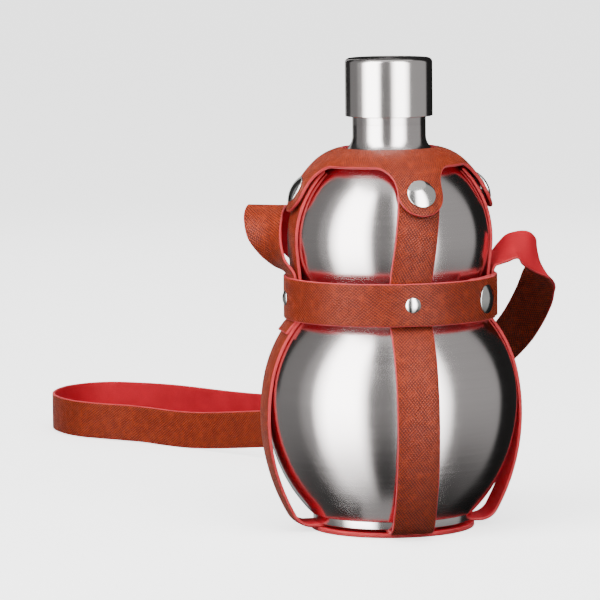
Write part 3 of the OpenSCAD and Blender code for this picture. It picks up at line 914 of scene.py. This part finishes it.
def make_collar():
    for side, angle in LOBES.items():
        rims, seams = collar_rims(side)
        piece = sheet(f"collar_{side}_leather", rims, seams, collar_place)
        dress(piece, LEATHER, "brown_leather")
        root = Vector((0, BULB_Z)) + SHEET_R * ray(LOBE_ROOT)
        down = ray(LOBE_ROOT - 90)
        start, end = root - down * BEND_ABOVE, root + down * BEND_BELOW
        turned(start, angle)
        turned(end, angle)
        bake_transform(piece)
        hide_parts(f"lobe_{side}", "collar_ring")


make_collar()

# ---- Waist band and its closing end ----


def hoop_station(angle, radius):
    """A strip's station on a level hoop at the waist."""
    c = Vector((*ray(angle), 0))
    return (c * radius + Vector((0, 0, BAND_Z)), Vector((0, 0, -1)), c, 0)


def make_band():
    """The band from under its closing end, out over a dip and round, and then the closing end."""
    stations = [hoop_station(a, UNDER_R) for a in range(UNDER_END, TAB_END)]
    steps = 12
    for k in range(steps + 1):
        share = k / steps
        rise = share * share * (3 - 2 * share)
        angle = TAB_END + share * (DIP_END - TAB_END)
        stations.append(hoop_station(angle, UNDER_R + (BAND_R - UNDER_R) * rise))
    stations += [hoop_station(a, BAND_R) for a in range(DIP_END + 1, 360 + TAB_SPLIT + 1)]
    band = strip("waist_band_leather", stations, cut_end=False)
    fit(band, "carrier", LEATHER, "brown_leather", "waist_band")
    count, turn = 60, TAB_END - TAB_SPLIT
    stations = [hoop_station(TAB_SPLIT + turn * k / count, BAND_R) for k in range(count + 1)]
    tab = strip("waist_tab_leather", stations, cut_start=False)
    dress(tab, LEATHER, "brown_leather")
    start, end = (hoop_station(a, BAND_R)[0] for a in (TAB_BEND_START, TAB_BEND_END))
    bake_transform(tab)
    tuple(start)
    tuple(end)
    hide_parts("waist_tab")


make_band()

# ---- Base disc ----


def make_disc():
    corners = [(0, 0, 0), (DISC_R, 0, DISC_EDGE_R), (DISC_R, DISC_T, DISC_EDGE_R), (0, DISC_T, 0)]
    outline = rounded(corners)
    count = len(outline)

    def zone(i):
        """The first faces turned are the underside and the last the top; between them is the edge."""
        return {0: OUTER, count - 2: LINING}.get(i, EDGE)

    disc = lathe("base_disc_leather", outline, 160, zone=zone)
    grain = disc.data.uv_layers.new(name="grain")
    for loop in disc.data.loops:
        grain.data[loop.index].uv = disc.data.vertices[loop.vertex_index].co.xy
    fit(disc, "carrier", LEATHER, "red_leather", "base_disc")


make_disc()

# ---- Snaps and rivets ----


def snap_matrix(angle):
    """Takes a fastener that stands on the origin to the lobe at that angle."""
    turn = Matrix.Rotation(math.radians(angle), 4, "Z")
    tilt = Matrix.Rotation(math.radians(90 - SNAP_ANGLE), 4, "Y")
    lift = Matrix.Translation((0, 0, SHEET_R + LEATHER_T / 2))
    return Matrix.Translation((0, 0, BULB_Z)) @ turn @ tilt @ lift


def waist_matrix(angle, radius):
    """Takes a fastener that stands on the origin to the waist, at that angle and radius."""
    turn = Matrix.Rotation(math.radians(angle), 4, "Z")
    tilt = Matrix.Rotation(math.radians(90), 4, "Y")
    return Matrix.Translation((0, 0, BAND_Z)) @ turn @ tilt @ Matrix.Translation((0, 0, radius))


DOME_WALL, DOME_UNDER = 0.0006, 0.0002


def dome(radius, height, rim, drop, steps=14):
    """The profile of a pressed cap: a shallow dome whose rim reaches down by drop."""
    big = (radius**2 + height**2) / (2 * height)
    top = [Vector((big * math.sin(a), rim + height - big + big * math.cos(a)))
           for a in [math.asin(radius / big) * k / steps for k in range(steps)]]
    inner_r, under = radius - DOME_WALL, rim - DOME_UNDER
    curl = rounded([
        (*top[-1], 0), (radius, rim, 0.0004), (radius, -drop, 0.0002),
        (inner_r, -drop, 0.0002), (inner_r, under, 0),
    ], 4)
    return top + curl[1:] + [Vector((0, under))]


def make_hardware():
    for side, angle in LOBES.items():
        cap = lathe(f"snap_dome_{side}", dome(SNAP_R, height=0.0019, rim=0.0003, drop=0.0004), 96)
        cap.data.transform(snap_matrix(angle))
        fit(cap, f"flap_{side}", [NICKEL], "nickel", f"snap_cap_{side}")
    for side, angle in SIDES.items():
        rivet = lathe(f"rivet_dome_{side}", dome(RIVET_R, height=0.0013, rim=0.0002, drop=0.0001), 64)
        rivet.data.transform(waist_matrix(angle, BAND_R + LEATHER_T / 2))
        fit(rivet, "carrier", [NICKEL], "nickel", "waist_rivet_caps")
    cap = lathe("snap_dome_waist", dome(SNAP_R, height=0.0019, rim=0.0003, drop=0.0), 96)
    cap.data.transform(waist_matrix(TAB_SNAP, BAND_R + LEATHER_T / 2))
    fit(cap, "flap_waist", [NICKEL], "nickel", "tab_snap_cap")


make_hardware()

# ---- CAD nodes that stay: the inner hardware, the threads, the liner and the gasket ----


def dress_nodes():
    for name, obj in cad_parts.items():
        if name == "neck_thread":
            dress(obj, [FLASK_STEEL], "flask_steel")
        elif name in ("cap_liner", "cap_thread"):
            dress(obj, [LINER], "liner_plastic")
        elif name == "cap_gasket":
            dress(obj, [GASKET], "gasket_rubber")
        elif "spring" in name:
            dress(obj, [WIRE], "spring_steel")
        elif "snap" in name or "rivet" in name:
            dress(obj, [NICKEL], "nickel")


dress_nodes()

# ---- Stage: a pale floor and backdrop, soft boxes, and cards that the camera does not see ----


def plain(name, colour, rough=0.6):
    material = bpy.data.materials.new(name)
    material.use_nodes = True
    shader = material.node_tree.nodes["Principled BSDF"]
    shader.inputs["Base Color"].default_value = (*colour, 1)
    shader.inputs["Roughness"].default_value = rough
    return material


def slab(name, size, place, facing, material):
    """A flat stage card of that size, its face turned to a point."""
    mesh = bpy.data.meshes.new(name)
    w, h = size[0] / 2, size[1] / 2
    mesh.from_pydata([(-w, -h, 0), (w, -h, 0), (w, h, 0), (-w, h, 0)], [], [(0, 1, 2, 3)])
    obj = link(name, mesh)
    mesh.materials.append(material)
    look = Vector(facing) - Vector(place)
    obj.rotation_euler = look.to_track_quat("Z", "Y").to_euler()
    obj.location = place
    return obj


def around(angle, distance, height):
    """A place at that many degrees to the right of the camera, seen from the flask."""
    a = math.radians(CAMERA_AZIMUTH + angle)
    return Vector((math.sin(a) * distance, -math.cos(a) * distance, height))


LAMP_AIM = Vector((0, 0, 0.12))


def soft_box(name, angle, distance, height, size, power):
    """A lamp that lights by itself only: neither the camera nor the steel sees it."""
    data = bpy.data.lights.new(name, "AREA")
    data.shape = "RECTANGLE"
    data.size, data.size_y = size
    data.energy = power
    obj = link(name, data)
    obj.location = around(angle, distance, height)
    look = LAMP_AIM - obj.location
    obj.rotation_euler = look.to_track_quat("-Z", "Y").to_euler()
    obj.visible_camera = False
    obj.visible_glossy = False


# The studio as the steel sees it: (from, to, glow), in degrees to the right of the camera.
# Between two panels the glow runs evenly from the one to the other.
PANELS = [
    (-180, -166, 0.01),  # dark behind, so that the cap's top is dark
    (-161, -154, 0.8),   # a strip light behind on the left
    (-146, -94, 0.26),   # the room on the left
    (-84, -76, 0.5),     # the wall beside the key light
    (-59, -31, 12),      # the key light
    (-20, 5, 0.28),      # the gap where the camera stands
    (20, 41, 11),        # the second light
    (58, 113, 0.46),     # the room on the right
    (119, 180, 0.02),    # a black flag
]
# The share of that glow by height: below 0 the studio is mirrored in the glossy table.
PANEL_LEVELS = [(-4, 0.04), (-2.2, 0.08), (-1, 0.3), (-0.4, 0.8), (0, 1), (2.4, 1)]


RING_R = 1.5


def studio_ring():
    """A tall ring of soft panels and black flags, which only reflections see."""
    bm = bmesh.new()
    layer = bm.loops.layers.uv.new("place")
    steps = 120
    for (low, weak), (high, strong) in zip(PANEL_LEVELS, PANEL_LEVELS[1:]):
        for k in range(steps):
            turns = [-180 + 360 * (k + e) / steps for e in (0, 1)]
            verts = [bm.verts.new(around(a, RING_R, low)) for a in turns]
            verts += [bm.verts.new(around(a, RING_R, high)) for a in reversed(turns)]
            face = bm.faces.new(verts)
            for loop, a, share in zip(face.loops, turns + turns[::-1], (weak, weak, strong, strong)):
                loop[layer].uv = ((a + 180) / 360, share)
    mesh = bpy.data.meshes.new("studio_ring")
    bm.to_mesh(mesh)
    bm.free()
    obj = link("studio_ring", mesh)
    mesh.materials.append(studio_panels())
    return obj


def studio_panels():
    """Emission that follows PANELS round the ring (u) and PANEL_LEVELS up it (v)."""
    material = bpy.data.materials.new("studio_panels")
    material.use_nodes = True
    tree = material.node_tree
    tree.nodes.clear()
    place = tree.nodes.new("ShaderNodeUVMap")
    place.uv_map = "place"
    split = tree.nodes.new("ShaderNodeSeparateXYZ")
    ramp = tree.nodes.new("ShaderNodeValToRGB")
    edges = [(angle, glow) for start, end, glow in PANELS for angle in (start, end)]
    peak = max(glow for _, glow in edges)
    stops = ramp.color_ramp.elements
    for angle, _ in edges[1:-1]:
        stops.new((angle + 180) / 360)
    for stop, (_, glow) in zip(stops, edges):
        stop.color = (glow / peak, glow / peak, glow / peak, 1)
    power = tree.nodes.new("ShaderNodeMath")
    power.operation = "MULTIPLY"
    power.inputs[1].default_value = peak
    lamp = tree.nodes.new("ShaderNodeEmission")
    out = tree.nodes.new("ShaderNodeOutputMaterial")
    tree.links.new(place.outputs["UV"], split.inputs["Vector"])
    tree.links.new(split.outputs["X"], ramp.inputs["Fac"])
    tree.links.new(split.outputs["Y"], power.inputs[0])
    tree.links.new(ramp.outputs["Color"], lamp.inputs["Color"])
    tree.links.new(power.outputs["Value"], lamp.inputs["Strength"])
    tree.links.new(lamp.outputs["Emission"], out.inputs["Surface"])
    return material


def glowing(name, brightness, colour=(0, 0, 0)):
    material = plain(name, colour)
    shader = material.node_tree.nodes["Principled BSDF"]
    shader.inputs["Emission Color"].default_value = (1, 1, 1, 1)
    shader.inputs["Emission Strength"].default_value = brightness
    return material


def make_background():
    """The floor and the backdrop, which only the camera sees."""
    pale = glowing("floor_pale", 2.2, (0.9, 0.9, 0.9))
    far = glowing("backdrop_pale", 6.5)
    background = [
        slab("floor", (40, 40), (0, 0, 0), (0, 0, 1), pale),
        slab("backdrop", (30, 16), around(180, 9, 6), around(0, 9, 6), far),
    ]
    for piece in background:
        piece.visible_glossy = False
        piece.visible_diffuse = False


def make_cards():
    """The studio that the steel reflects, and the table that throws a little light up at matt parts."""
    glow = glowing("ceiling_glow", 0.8)
    black = plain("card_black", (0, 0, 0), 1)
    dark = plain("card_dark", (0.07, 0.065, 0.065), 0.9)
    reflected = [
        slab("card_ceiling", (4, 4), (0, 0, 2.41), (0, 0, 0), glow),
        slab("card_flag", (0.8, 2.34), around(-138, 1.4, 1.2), (0, 0, 1.2), black),
        studio_ring(),
    ]
    table = slab("card_floor", (8, 8), (0, 0, -0.0005), (0, 0, 1), dark)
    for card in [*reflected, table]:
        card.visible_camera = False
        card.visible_shadow = False
        card.visible_transmission = False
        card.visible_diffuse = card is table
        card.visible_glossy = card is not table


def make_lamps():
    world = bpy.data.worlds.new("world")
    bpy.context.scene.world = world
    world.use_nodes = True
    background = world.node_tree.nodes["Background"]
    background.inputs["Color"].default_value = (1, 1, 1, 1)
    background.inputs["Strength"].default_value = 0.38
    soft_box("soft_box_left", -50, 1.3, 1.2, (0.9, 1.2), 30)
    soft_box("soft_box_right", 35, 1.4, 1.2, (0.9, 1.2), 14)
    soft_box("soft_box_top", 0, 0.4, 1.7, (1.2, 1.2), 30)
    soft_box("soft_box_back", 180, 1.5, 1.0, (1.2, 1.0), 9)


make_background()
make_cards()
make_lamps()
